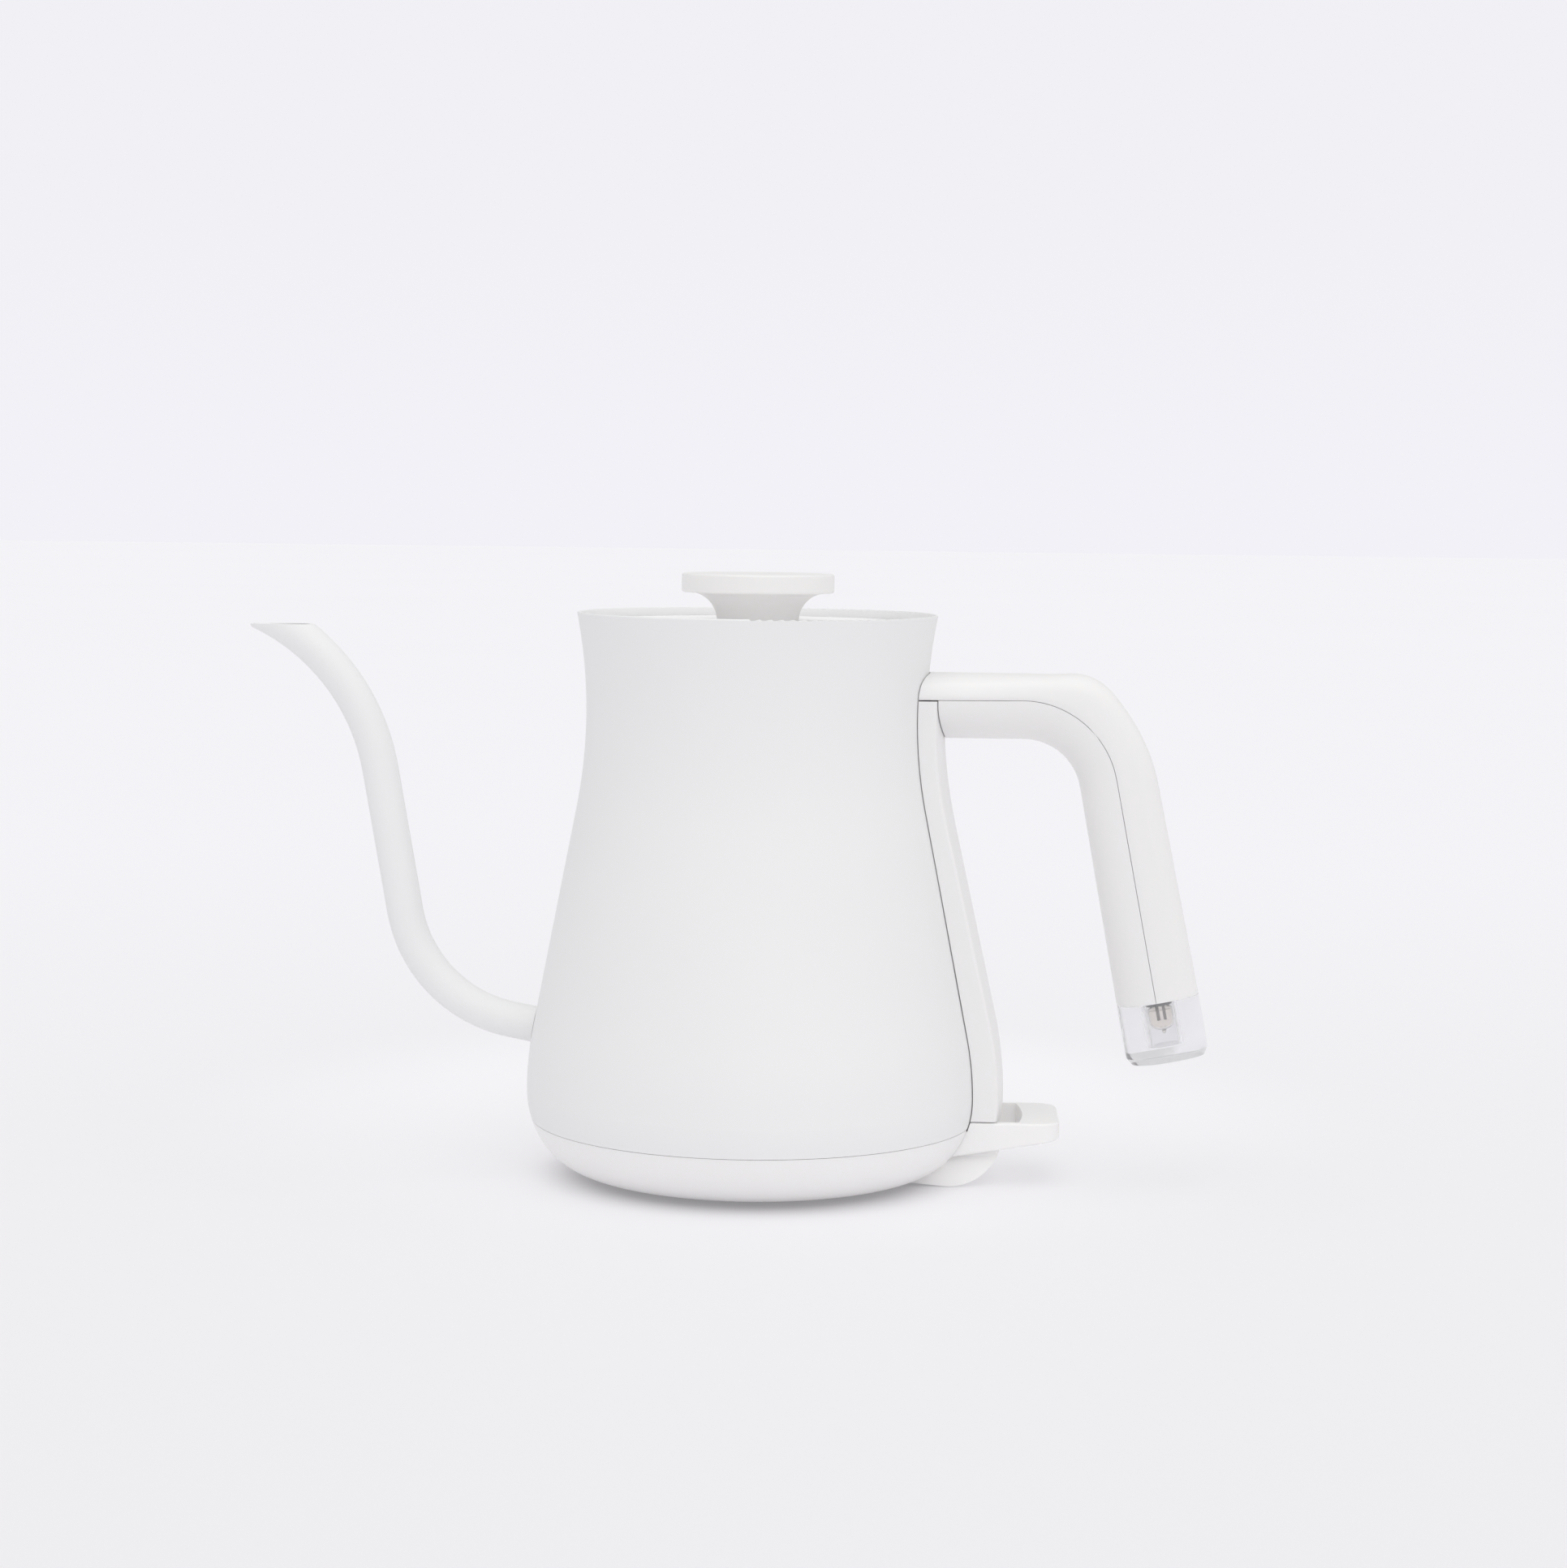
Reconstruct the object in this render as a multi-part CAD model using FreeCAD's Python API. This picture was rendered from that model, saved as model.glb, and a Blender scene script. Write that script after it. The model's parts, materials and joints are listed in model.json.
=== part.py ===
import FreeCAD, Part
import math
import os
from FreeCAD import Vector

os.makedirs("parts", exist_ok=True)

# Millimetres. The pot's axis is Z, the table is z = 0 and the handle points along +X.

# Clearances
seat_gap = 0.05        # between pieces that are seated on one another
run_gap = 0.05         # radial play of a shaft in its hole
part_gap = 0.3         # between neighbours that come apart or move
seam_gap = 0.12        # open line where two outer shells meet

# Side line of the pot: rounded base edge, belly, straight cone, hollow neck, rim
belly_r = 64.0
belly_z = 24.2
belly_curve = 93.0
neck_in = 16.16        # neck, in from the belly
neck_z = 131.0
side_curve_share = 0.6482  # curves of belly and neck, as part of the largest that fit between them
rim_rise = 27.5        # rim above the neck
under_curve = 26.0
edge_lean = math.radians(33.9)  # where the belly's lower arc runs into the base edge
base_clear = 1.3       # underside of the base above the table
seam_z = 16.36         # joint of the pot and its base
pot_wall = 0.9

# Spout
spout_r = 5.1
spout_wall = 0.8
spout_root_z = 41.25
spout_root_run = 6.8
spout_foot_bend = 38.0
spout_riser_run = 40.9
spout_riser_lean = math.radians(10.0)
spout_top_bend = 60.0
spout_top_turn = math.radians(66.0)
spout_mouth_rise = 40.67   # mouth above the end of the straight riser
spout_lip_reach = 36.4     # lip beyond the end of the straight riser

# Lid
lid_drop = 2.0         # lid below the rim
lid_sheet = 1.2
lid_depth = 3.5
lid_plate_sheet = 1.0
lid_skirt_in = 1.64    # skirt, in from the neck
lid_skirt_depth = 8.0
gasket_height = 3.0
gasket_drop = 3.0
knob_r = 21.4
knob_height = 13.5
knob_thick = 5.3
knob_stem_r = 11.5
knob_flare = 8.0
knob_round = 0.7
knob_spigot_r = 4.0
knob_screw_r = 2.0
screw_head_r = 4.0
screw_head = 1.6

# Heater under the pot floor
floor_z = 30.0
floor_sheet = 1.0
floor_skirt = 6.0
floor_skirt_sheet = 1.2
spreader_in = 14.0     # edge of the heat spreader, in from the belly
spreader_thick = 3.0
element_in = 28.0      # element's ring, in from the belly
element_r = 3.2
element_open = 44.0    # degrees left open between the element's ends
element_pin_r = 1.6
element_pin_z = 14.0

# Base housing, bottom cover and foot, with radii in from the belly
housing_wall = 2.2
housing_floor_z = 4.1
housing_floor = 2.0
housing_floor_gap = 2.0    # round the connector's flange
spigot_wall = 1.8
spigot_top_z = 22.4
cover_in = 22.4
foot_in = 25.5
foot_width = 4.0
foot_groove = 0.8
base_screw_share = 0.56    # of the way from the connector's flange to the foot
base_screw_r = 1.4
base_screw_head_r = 2.6
base_screw_head = 1.2
base_screw_top_z = 10.0
base_boss_r = 3.0
base_boss_top_z = 11.0
base_screw_angles = (60.0, 180.0, 300.0)

# Connector and cut-out in the middle of the base
socket_r = 13.0
socket_depth = 8.6
connector_neck_r = 15.5
connector_flange_r = 22.0
connector_flange_top_z = 7.0
connector_r = 19.0
connector_top_z = 21.0
contact_depth = 2.0
contact_rings = ((0.0, 1.4), (3.4, 5.0), (7.6, 9.2))
bimetal_r = 6.5
bimetal_thick = 0.7
bimetal_post_r = 3.0
bimetal_reach = 10.0

# Switch lever, with places out from the belly
lever_half = 16.3
lever_arm = 2.2
lever_top_z = 18.3
lever_end_out = 22.6
lever_end_round = 6.0
lever_edge = 0.7
lever_root_z = 8.6
lever_root_out = -7.0
lever_tip_z = 13.4
lever_window_out = 12.5    # back edge of the lever's window, round the pot's axis
lever_neck_z = 15.8        # the arms are lower inwards of the pot wall, to pass under it
lever_drop = 1.4           # room under the arms for the travel

# Switch that the lever works, with places in from the lever's pivot
pivot_in = 15.0            # pivot, in from the belly
pivot_z = 12.5
pin_r = 1.5
toe_in = (8.7, 5.3)
toe_z = (8.8, 10.6)
frame_in = (20.5, -1.0)
frame_z = (6.3, 7.8)
frame_side_gap = 0.8       # between the lever's arms
lug_in = (3.5, -2.7)
lug_thick = 3.0
guide_in = 12.0
guide_z = (15.0, 17.0)
plunger_in = 7.0
plunger_r = 2.0
plunger_top_z = 18.2
collar_r = 3.2
collar_thick = 0.8
collar_rise = 0.2          # collar above the lever's toe
bridge_half = 8.0
bridge_width = 3.0
bridge_thick = 0.8
rivet_y = 6.0
rivet_r = 1.4
rivet_height = 0.5
contact_open = 1.5         # contact gap with the switch off
strip_in = (9.5, -2.5)
strip_half = 1.8
strip_thick = 0.8
strip_post = 3.0
spring_mean_r = 2.75
spring_wire_r = 0.2
spring_turns = 3

# Tongue of the base under the spine, wider towards the table
tongue_side_gap = 0.7      # between the lever's arms
tongue_foot_more = 0.1     # past the lever's side
tongue_flare_z = 8.4
tongue_low_z = 0.3
tongue_flat_out = -9.5
tongue_curve = 15.4
tongue_sweep = math.radians(72.0)
tongue_top_z = 11.0
tongue_corner = 6.0

# Spine cover and the steam way behind it
spine_neck_out = 5.0
spine_belly_out = 7.0
spine_wall = 1.5
spine_gap = 0.3
spine_foot_gap = 0.9       # between the lever's arms
spine_round = 1.0
duct_half = 3.9
duct_wall = 0.6
duct_gap = 0.6
duct_low_z = 20.0
duct_rise = 6.0            # duct above the steam hole
steam_port_drop = 19.0     # steam hole below the neck
steam_port_r = 3.5
steam_bore_r = 2.2
grommet_flange_r = 5.0
grommet_flange = 1.2
steam_disc_r = 6.0
steam_disc_thick = 0.6
steam_disc_out = 1.4
steam_disc_z = 14.0

# Handle: a path of a level run, a bend and a leaning run, along the side seam of the shells
handle_rise = 5.0          # level run above the neck
handle_reach = 26.16       # bend, out from the neck
handle_bend = 27.3
handle_lean = math.radians(11.1)
handle_run = 63.6
handle_wall = 2.0
handle_shoulder = 3.0      # squareness of the outer shell's shoulders, 2 is an ellipse
section_steps = 14
handle_start = -34.0       # way along the path, from the bend
handle_steps = 26
handle_top_rise = 6.9      # outline of the top and back, above and past the bend of the path
handle_top_run = 16.5
handle_back_bends = ((10.0, math.radians(44.0)), (55.0, math.radians(34.0)))
handle_under_drop = 11.4   # outline of the under side and front, below and past the bend
handle_under_run = 1.0
handle_under_bends = ((16.4, math.radians(79.4)),)
handle_root_half = 16.4    # half width at the spine
handle_tip_half = 9.0      # half width of the leaning run
handle_taper_way = -5.0    # middle of the taper, from the bend
handle_taper = 8.0
bracket_half = 3.9
bracket_sheet = 2.0
bracket_drop = (16.0, 2.0)     # strap below the path
bracket_arm_drop = 6.6
bracket_arm_run = 8.0          # arm past the bend
handle_screw_ways = (-14.0, 2.0)
handle_screw_r = 1.5
handle_screw_rise = 1.0
handle_screw_head_r = 2.8
handle_screw_head = 1.4
insert_end = 6.0
insert_half = 3.9
insert_rise = 4.2
insert_bevel = 1.0

# Clear tip of the handle and the lamp in it
lens_length = 17.2
lens_bevel = 2.0
lens_inset = 1.2
lamp_out = 1.2             # lamp axis outside the seam
pocket_r = 4.6
pocket_depth = 13.0
lamp_r = 3.0
lamp_glass = 0.5
lamp_length = 10.0
lamp_top = -2.0            # the lamp starts this far inside its holder
electrode_r = 0.55
electrode_y = 1.15
electrode_length = 7.5
holder_half = 5.3
holder_depth = 4.2
holder_length = 5.0
lead_r = 0.6
lead_y = 4.9
lead_in = 3.2              # leads run this far inside the seam
lead_turn = 5.0
lead_neck_out = 1.9
lead_belly_out = 3.0
lead_low_z = 19.2

# Places that follow from the belly, the neck and the pivot
neck_r = belly_r - neck_in
side_rise = neck_z - belly_z
neck_curve = side_curve_share * (neck_in ** 2 + side_rise ** 2) / (2 * neck_in) - belly_curve
rim_z = neck_z + rim_rise
edge_curve = (belly_z - base_clear - under_curve * math.sin(edge_lean)) / (1 - math.sin(edge_lean))
edge_mid_r = belly_r - under_curve + (under_curve - edge_curve) * math.cos(edge_lean)
edge_mid_z = base_clear + edge_curve
lid_skirt_r = neck_r - lid_skirt_in
spreader_r = belly_r - spreader_in
element_ring_r = belly_r - element_in
housing_floor_r = connector_flange_r + housing_floor_gap
cover_r = belly_r - cover_in
foot_out_r = belly_r - foot_in
foot_in_r = foot_out_r - foot_width
base_screw_ring = connector_flange_r + base_screw_share * (foot_in_r - connector_flange_r)
lever_end_x = belly_r + lever_end_out
lever_root_x = belly_r + lever_root_out
lever_window_r = belly_r + lever_window_out
lever_inside = lever_half - lever_arm
frame_half = lever_inside - frame_side_gap
tongue_half = lever_inside - tongue_side_gap
tongue_foot_half = lever_half + tongue_foot_more
spine_half = lever_half
spine_foot_half = lever_inside - spine_foot_gap
pivot_x = belly_r - pivot_in
plunger_x = pivot_x - plunger_in
guide_x = pivot_x - guide_in
toe_x, frame_x, lug_x, strip_x = [[pivot_x - step for step in steps]
                                  for steps in (toe_in, frame_in, lug_in, strip_in)]
tongue_flat_x = belly_r + tongue_flat_out
steam_disc_x = belly_r + steam_disc_out
steam_port_z = neck_z - steam_port_drop
duct_z = (duct_low_z, steam_port_z + duct_rise)
handle_z = neck_z + handle_rise
handle_bend_x = neck_r + handle_reach
spine_top_z = handle_z - part_gap
spine_shoulder_z = lever_top_z + part_gap
bracket_z = [handle_z - drop for drop in bracket_drop]
bracket_arm_z = handle_z - bracket_arm_drop
handle_screw_xs = [handle_bend_x + way for way in handle_screw_ways]
handle_screw_top_z = handle_z + handle_screw_rise
insert_top_z = handle_z + insert_rise

up = Vector(0, 0, 1)
across = Vector(0, 1, 0)
ahead = Vector(1, 0, 0)


def cone_limits(neck_out, belly_out):
    """Heights where the cone leaves the belly and meets the neck, and its lean, for a side line
    that is moved outwards by the two offsets."""
    belly_big = belly_curve + belly_out
    neck_big = neck_curve - neck_out
    reach = neck_r + neck_curve - belly_r + belly_curve
    rise = neck_z - belly_z
    lean = math.atan2(rise, reach) - math.acos((belly_big + neck_big) / math.hypot(reach, rise))
    return belly_z + belly_big * math.sin(lean), neck_z - neck_big * math.sin(lean), lean


def wall_r(z, neck_out=0.0, belly_out=0.0):
    """Radius of the side line at a height."""
    low, high, lean = cone_limits(neck_out, belly_out)
    edge_big = edge_curve + belly_out
    if z < edge_mid_z - edge_big * math.sin(edge_lean):
        return edge_mid_r + math.sqrt(max(edge_big ** 2 - (z - edge_mid_z) ** 2, 0.0))
    if z < belly_z:
        return belly_r - under_curve + math.sqrt((under_curve + belly_out) ** 2 - (z - belly_z) ** 2)
    if z < low:
        return belly_r - belly_curve + math.sqrt((belly_curve + belly_out) ** 2 - (z - belly_z) ** 2)
    if z < high:
        start = belly_r - belly_curve + (belly_curve + belly_out) * math.cos(lean)
        return start - (z - low) * math.tan(lean)
    return neck_r + neck_curve - math.sqrt((neck_curve - neck_out) ** 2 - (z - neck_z) ** 2)


def side(x, z, y=0.0):
    """A point given as it is seen from the side."""
    return Vector(x, y, z)


def lines(*points):
    """Straight edges through points."""
    return [Part.LineSegment(a, b).toShape() for a, b in zip(points, points[1:])]


def wall_edges(z0, z1, neck_out=0.0, belly_out=0.0):
    """The side line from one height up to another, as arcs and one straight edge."""
    low, high, lean = cone_limits(neck_out, belly_out)
    edge_top = edge_mid_z - (edge_curve + belly_out) * math.sin(edge_lean)
    stops = [z0] + [z for z in (edge_top, belly_z, low, high) if z0 + 0.01 < z < z1 - 0.01] + [z1]
    edges = []
    for a, b in zip(stops, stops[1:]):
        ends = [side(wall_r(z, neck_out, belly_out), z) for z in (a, (a + b) / 2, b)]
        if a >= low - 0.001 and b <= high + 0.001:
            edges += lines(ends[0], ends[2])
        else:
            edges.append(Part.Arc(*ends).toShape())
    return edges


def face_of(edges):
    return Part.Face(Part.Wire(Part.__sortEdges__(edges)))


def turned(edges):
    """Solid of revolution about the pot's axis."""
    return face_of(edges).revolve(Vector(), up, 360)


def turned_points(*points):
    """Solid of revolution of a closed outline of (r, z) points."""
    corners = [side(r, z) for r, z in points]
    return turned(lines(*corners, corners[0]))


def wall_core(z0, z1, neck_out=0.0, belly_out=0.0):
    """Everything inside the side line between two heights."""
    base, top = wall_r(z0, neck_out, belly_out), wall_r(z1, neck_out, belly_out)
    caps = lines(side(base, z0), side(0, z0), side(0, z1), side(top, z1))
    return turned(wall_edges(z0, z1, neck_out, belly_out) + caps)


def block(x, y, z):
    """Box between (low, high) pairs."""
    return Part.makeBox(x[1] - x[0], y[1] - y[0], z[1] - z[0], side(x[0], z[0], y[0]))


def disc(r, z0, z1, x=0.0, y=0.0):
    return Part.makeCylinder(r, z1 - z0, side(x, z0, y))


def ring(r0, r1, z0, z1):
    return disc(r1, z0, z1).cut(disc(r0, z0, z1)) if r0 > 0 else disc(r1, z0, z1)


def rod_x(r, x0, x1, z, y=0.0):
    return Part.makeCylinder(r, x1 - x0, side(x0, z, y), ahead)


def rod_y(r, y0, y1, x, z):
    return Part.makeCylinder(r, y1 - y0, side(x, z, y0), across)


def both_sides(shape):
    """A solid and its mirror image across the handle's plane."""
    return [shape, shape.mirror(Vector(), across)]


def bend(point, heading, radius, turn):
    """Arc that goes on from a point, with the end point and heading. Turns are anticlockwise seen
    from the near side."""
    hand = math.copysign(radius, turn)
    middle = point + side(-math.sin(heading), math.cos(heading)) * hand
    ends = [middle + side(math.sin(a), -math.cos(a)) * hand
            for a in (heading + turn / 2, heading + turn)]
    return Part.Arc(point, *ends).toShape(), ends[1], heading + turn


def onward(point, heading, length):
    return point + side(math.cos(heading), math.sin(heading)) * length


def tube(edges, radius):
    """Round solid along a path of straight runs and tangent arcs."""
    path = Part.Wire(edges)
    start = edges[0].valueAt(edges[0].FirstParameter)
    along = edges[0].tangentAt(edges[0].FirstParameter)
    section = Part.Wire([Part.Circle(start, along, radius).toShape()])
    return path.makePipeShell([section], True, False)


def body_shell():
    """Pot wall with a rounded rim, a hole for the spout and one for the steam."""
    outer, inner = wall_r(rim_z), wall_r(rim_z, -pot_wall, -pot_wall)
    rim = Part.Arc(side(outer, rim_z), side((outer + inner) / 2, rim_z + pot_wall / 2),
                   side(inner, rim_z)).toShape()
    foot = lines(side(wall_r(seam_z), seam_z), side(wall_r(seam_z, -pot_wall, -pot_wall), seam_z))
    shell = turned(wall_edges(seam_z, rim_z) + [rim] + foot
                   + wall_edges(seam_z, rim_z, -pot_wall, -pot_wall))
    steam = rod_x(steam_port_r, 0, belly_r, steam_port_z)
    return shell.cut(tube(spout_path()[0], spout_r - spout_wall)).cut(steam)


def spout_path():
    """Middle line of the gooseneck, from inside the pot wall to past the mouth, and the point where
    its straight riser ends."""
    lean = cone_limits(0, 0)[2]
    heading = math.pi - lean
    root = side(-wall_r(spout_root_z), spout_root_z)
    inside = onward(root, heading, -2 * spout_r)
    foot = onward(root, heading, spout_root_run)
    turn = math.pi / 2 + spout_riser_lean - heading
    foot_arc, low, heading = bend(foot, heading, spout_foot_bend, turn)
    high = onward(low, heading, spout_riser_run)
    top_arc = bend(high, heading, spout_top_bend, spout_top_turn)[0]
    return lines(inside, foot) + [foot_arc] + lines(low, high) + [top_arc], high


def spout_tube():
    """Gooseneck tube, cut to the pot wall, level at the mouth and blunt at the lip."""
    path, high = spout_path()
    pipe = tube(path, spout_r).cut(tube(path, spout_r - spout_wall))
    pipe = pipe.cut(wall_core(seam_z, rim_z, seat_gap, seat_gap))
    far = 4 * spout_top_bend
    over = block((-far, 0), (-far, far), (high.z + spout_mouth_rise, far))
    past = block((-far, high.x - spout_lip_reach), (-far, far), (0, far))
    return pipe.cut(over).cut(past)


lid_top_z = rim_z - lid_drop
lid_plate_z = lid_top_z - lid_depth
lid_r = wall_r(lid_plate_z, -pot_wall) - part_gap - seat_gap
gasket_top_z = lid_plate_z - gasket_drop
gasket_low_z = gasket_top_z - gasket_height
knob_top_z = lid_top_z + knob_height


def lid_cover():
    """Pressed lid with a turned-down edge."""
    cover = disc(lid_r, lid_plate_z + seat_gap, lid_top_z)
    cover = cover.makeFillet(lid_sheet / 2, [e for e in cover.Edges if e.BoundBox.ZMin > lid_top_z - 0.01])
    cover = cover.cut(disc(lid_r - lid_sheet, lid_plate_z, lid_top_z - lid_sheet))
    return cover.cut(disc(knob_spigot_r + seat_gap, 0, rim_z))


def lid_inner_plate():
    """Plate under the lid with the skirt that carries the gasket."""
    plate = disc(lid_r - lid_sheet / 2, lid_plate_z - lid_plate_sheet, lid_plate_z)
    skirt = ring(lid_skirt_r - lid_plate_sheet, lid_skirt_r, lid_plate_z - lid_skirt_depth, lid_plate_z)
    lip = ring(lid_skirt_r - lid_plate_sheet, lid_skirt_r + lid_plate_sheet / 2,
               gasket_low_z - lid_plate_sheet - seat_gap, gasket_low_z - seat_gap)
    return plate.fuse([skirt, lip]).removeSplitter().cut(disc(knob_screw_r + run_gap, 0, rim_z))


def lid_gasket():
    """Silicone ring with two lips, just clear of the neck."""
    root = lid_skirt_r + seat_gap
    lip = wall_r(gasket_low_z, -pot_wall) - part_gap
    middle = (gasket_low_z + gasket_top_z) / 2
    waist = (root + lip) / 2
    return turned_points((root, gasket_low_z), (lip, gasket_low_z), (waist, middle),
                         (lip, gasket_top_z), (root, gasket_top_z))


def lid_knob():
    """Knob disc on a stem that flares into it."""
    low = knob_top_z - knob_thick
    flare_r = knob_stem_r + knob_flare
    seat = lid_top_z + seat_gap
    spigot_z = lid_top_z - lid_sheet - 1.0
    turn = math.sqrt(0.5) * knob_flare
    flare = Part.Arc(side(knob_stem_r, low - knob_flare), side(flare_r - turn, low - knob_flare + turn),
                     side(flare_r, low)).toShape()
    edges = lines(side(flare_r, low), side(knob_r, low), side(knob_r, knob_top_z), side(0, knob_top_z),
                  side(0, spigot_z), side(knob_spigot_r, spigot_z), side(knob_spigot_r, seat),
                  side(knob_stem_r, seat), side(knob_stem_r, low - knob_flare)) + [flare]
    knob = turned(edges)
    rims = [e for e in knob.Edges if isinstance(e.Curve, Part.Circle) and abs(e.Curve.Radius - knob_r) < 0.01]
    knob = knob.makeFillet(knob_round, rims)
    return knob.cut(disc(knob_screw_r + run_gap, spigot_z, low))


def knob_screw():
    """Pan-head screw from under the lid into the knob."""
    seat = lid_plate_z - lid_plate_sheet - seat_gap
    shank = disc(knob_screw_r, seat, knob_top_z - knob_thick - 1.0)
    head = disc(screw_head_r, seat - screw_head, seat)
    return shank.fuse(head).removeSplitter()


def heater_plate():
    """Pot floor, a steel disc with a turned-down skirt against the pot wall."""
    out = -pot_wall - seat_gap
    low = floor_z - floor_skirt
    inside = out - floor_skirt_sheet
    plate = wall_core(low, floor_z, out, out)
    return plate.cut(wall_core(low, floor_z - floor_sheet, inside, inside))


spreader_top_z = floor_z - floor_sheet - seat_gap
spreader_low_z = spreader_top_z - spreader_thick
element_z = spreader_low_z - element_r - seat_gap


def heat_spreader():
    return disc(spreader_r, spreader_low_z, spreader_top_z)


def heating_element():
    """Sheathed element bent to an open ring, with a pin down from each end."""
    half = 180.0 - element_open / 2
    hoop = Part.makeTorus(element_ring_r, element_r, side(0, element_z), up, -180, 180, 2 * half)
    hoop.rotate(Vector(), up, -half)
    angle = math.radians(half)
    pins = both_sides(disc(element_pin_r, element_pin_z, element_z,
                           element_ring_r * math.cos(angle), element_ring_r * math.sin(angle)))
    return hoop.fuse(pins)


spigot_r = wall_r(seam_z, -pot_wall, -pot_wall) - part_gap


def plate_seal():
    """Silicone ring between the base's spigot and the pot floor's skirt."""
    outer = wall_r(spigot_top_z, -pot_wall, -pot_wall) - part_gap
    return ring(spigot_r - spigot_wall, outer, spigot_top_z + seat_gap, floor_z - floor_skirt - seat_gap)


def tongue():
    """Rounded tongue of the base under the spine, with a slot for the steam disc."""
    root = side(cover_r, base_clear)
    low = side(tongue_flat_x, tongue_low_z)
    slope = math.atan2(low.z - root.z, low.x - root.x)
    nose, tip = bend(low, slope, tongue_curve, tongue_sweep)[:2]
    outline = [nose] + lines(tip, side(tip.x, tongue_top_z), side(cover_r, tongue_top_z), root, low)
    solid = face_of(outline).extrude(across * (2 * tongue_foot_half))
    solid.translate(across * -tongue_foot_half)
    flank = [(tongue_half, tongue_top_z), (tongue_half, tongue_flare_z), (tongue_foot_half, 0)]
    corners = [side(0, z, y) for y, z in flank] + [side(0, z, -y) for y, z in reversed(flank)]
    solid = solid.common(face_of(lines(*corners, corners[0])).extrude(ahead * tip.x))
    plan = block((0, tip.x), (-tongue_foot_half, tongue_foot_half), (0, rim_z))
    ends = [e for e in plan.Edges if e.BoundBox.XMin > tip.x - 0.01 and e.BoundBox.ZLength > 1]
    solid = solid.common(plan.makeFillet(tongue_corner, ends))
    slot = block((steam_disc_x - part_gap, steam_disc_x + steam_disc_thick + part_gap),
                 (-steam_disc_r - part_gap, steam_disc_r + part_gap),
                 (steam_disc_z - steam_disc_r - seat_gap, rim_z))
    return solid.cut(slot)


def base_housing():
    """Base ring with its spigot into the pot, screw bosses, tongue and slots for the lever's arms."""
    rim = seam_z - seam_gap
    floor_top = housing_floor_z + housing_floor
    rebate_r = cover_r + seat_gap
    lap = rim - housing_wall
    inner = wall_edges(floor_top, lap, -housing_wall, -housing_wall)
    outline = wall_edges(base_clear, rim) + inner + lines(
        side(wall_r(rim), rim), side(spigot_r, rim), side(spigot_r, spigot_top_z),
        side(spigot_r - spigot_wall, spigot_top_z),
        side(wall_r(lap, -housing_wall, -housing_wall), lap)) + lines(
        side(wall_r(floor_top, -housing_wall, -housing_wall), floor_top),
        side(housing_floor_r, floor_top), side(housing_floor_r, housing_floor_z),
        side(rebate_r, housing_floor_z), side(rebate_r, base_clear), side(wall_r(base_clear), base_clear))
    housing = turned(outline)
    hollow = wall_core(base_clear, rim, -housing_wall / 2, -housing_wall / 2)
    outside = tongue().cut(hollow).cut(disc(rebate_r, 0, rim))
    bosses = []
    holes = []
    for angle in base_screw_angles:
        x, y = base_screw_ring * math.cos(math.radians(angle)), base_screw_ring * math.sin(math.radians(angle))
        bosses.append(disc(base_boss_r, floor_top - 0.5, base_boss_top_z, x, y))
        holes.append(disc(base_screw_r + run_gap, 0, base_screw_top_z + part_gap, x, y))
    housing = housing.fuse([outside] + bosses).removeSplitter()
    slots = both_sides(block((pivot_x, belly_r), (lever_inside - part_gap, lever_half + part_gap),
                             (lever_root_z - lever_drop, spigot_top_z + 1)))
    return housing.cut(holes + slots)


def bottom_cover():
    """Disc that closes the base, with a groove for the foot and countersunk screw holes."""
    cover = ring(connector_neck_r + part_gap, cover_r, base_clear, housing_floor_z - seat_gap)
    cover = cover.cut(ring(foot_in_r, foot_out_r, base_clear, base_clear + foot_groove))
    for angle in base_screw_angles:
        screw = base_screw(angle, run_gap)
        cover = cover.cut(screw)
    return cover


def base_screw(angle, gap=0.0):
    """Countersunk screw of the bottom cover."""
    head = Part.makeCone(base_screw_head_r + gap, base_screw_r + gap, base_screw_head, side(0, base_clear))
    screw = head.fuse(disc(base_screw_r + gap, base_clear, base_screw_top_z)).removeSplitter()
    screw.translate(ahead * base_screw_ring)
    screw.rotate(Vector(), up, angle)
    return screw


def base_screws():
    return Part.makeCompound([base_screw(angle) for angle in base_screw_angles])


def foot_ring():
    """Rubber ring that the kettle stands on."""
    foot = ring(foot_in_r + seat_gap, foot_out_r - seat_gap, 0, base_clear + foot_groove - seat_gap)
    return foot


socket_top_z = base_clear + socket_depth
bimetal_top_z = spreader_low_z - seat_gap
bimetal_low_z = bimetal_top_z - bimetal_thick


def connector_unit():
    """Round connector with its socket, contact pockets and posts for the cut-out discs."""
    seat = housing_floor_z
    unit = disc(connector_neck_r, base_clear, connector_flange_top_z).fuse([
        disc(connector_flange_r, seat, connector_flange_top_z),
        disc(connector_r, seat, connector_top_z)])
    posts = [disc(bimetal_post_r, connector_top_z - 1, bimetal_low_z - seat_gap, x) for x in
             (-bimetal_reach, bimetal_reach)]
    unit = unit.fuse(posts).removeSplitter()
    unit = unit.cut(disc(socket_r, 0, socket_top_z))
    pockets = [ring(max(r0 - seat_gap, 0), r1 + seat_gap, socket_top_z, socket_top_z + contact_depth)
               for r0, r1 in contact_rings]
    return unit.cut(pockets)


def connector_contacts():
    """Centre contact and two ring contacts, flush in the socket's roof."""
    return Part.makeCompound([ring(r0, r1, socket_top_z + seat_gap, socket_top_z + contact_depth - seat_gap)
                              for r0, r1 in contact_rings])


def dry_boil_bimetals():
    """Two snap discs that lie against the heat spreader."""
    return Part.makeCompound([disc(bimetal_r, bimetal_low_z, bimetal_top_z, x) for x in
                              (-bimetal_reach, bimetal_reach)])


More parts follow.
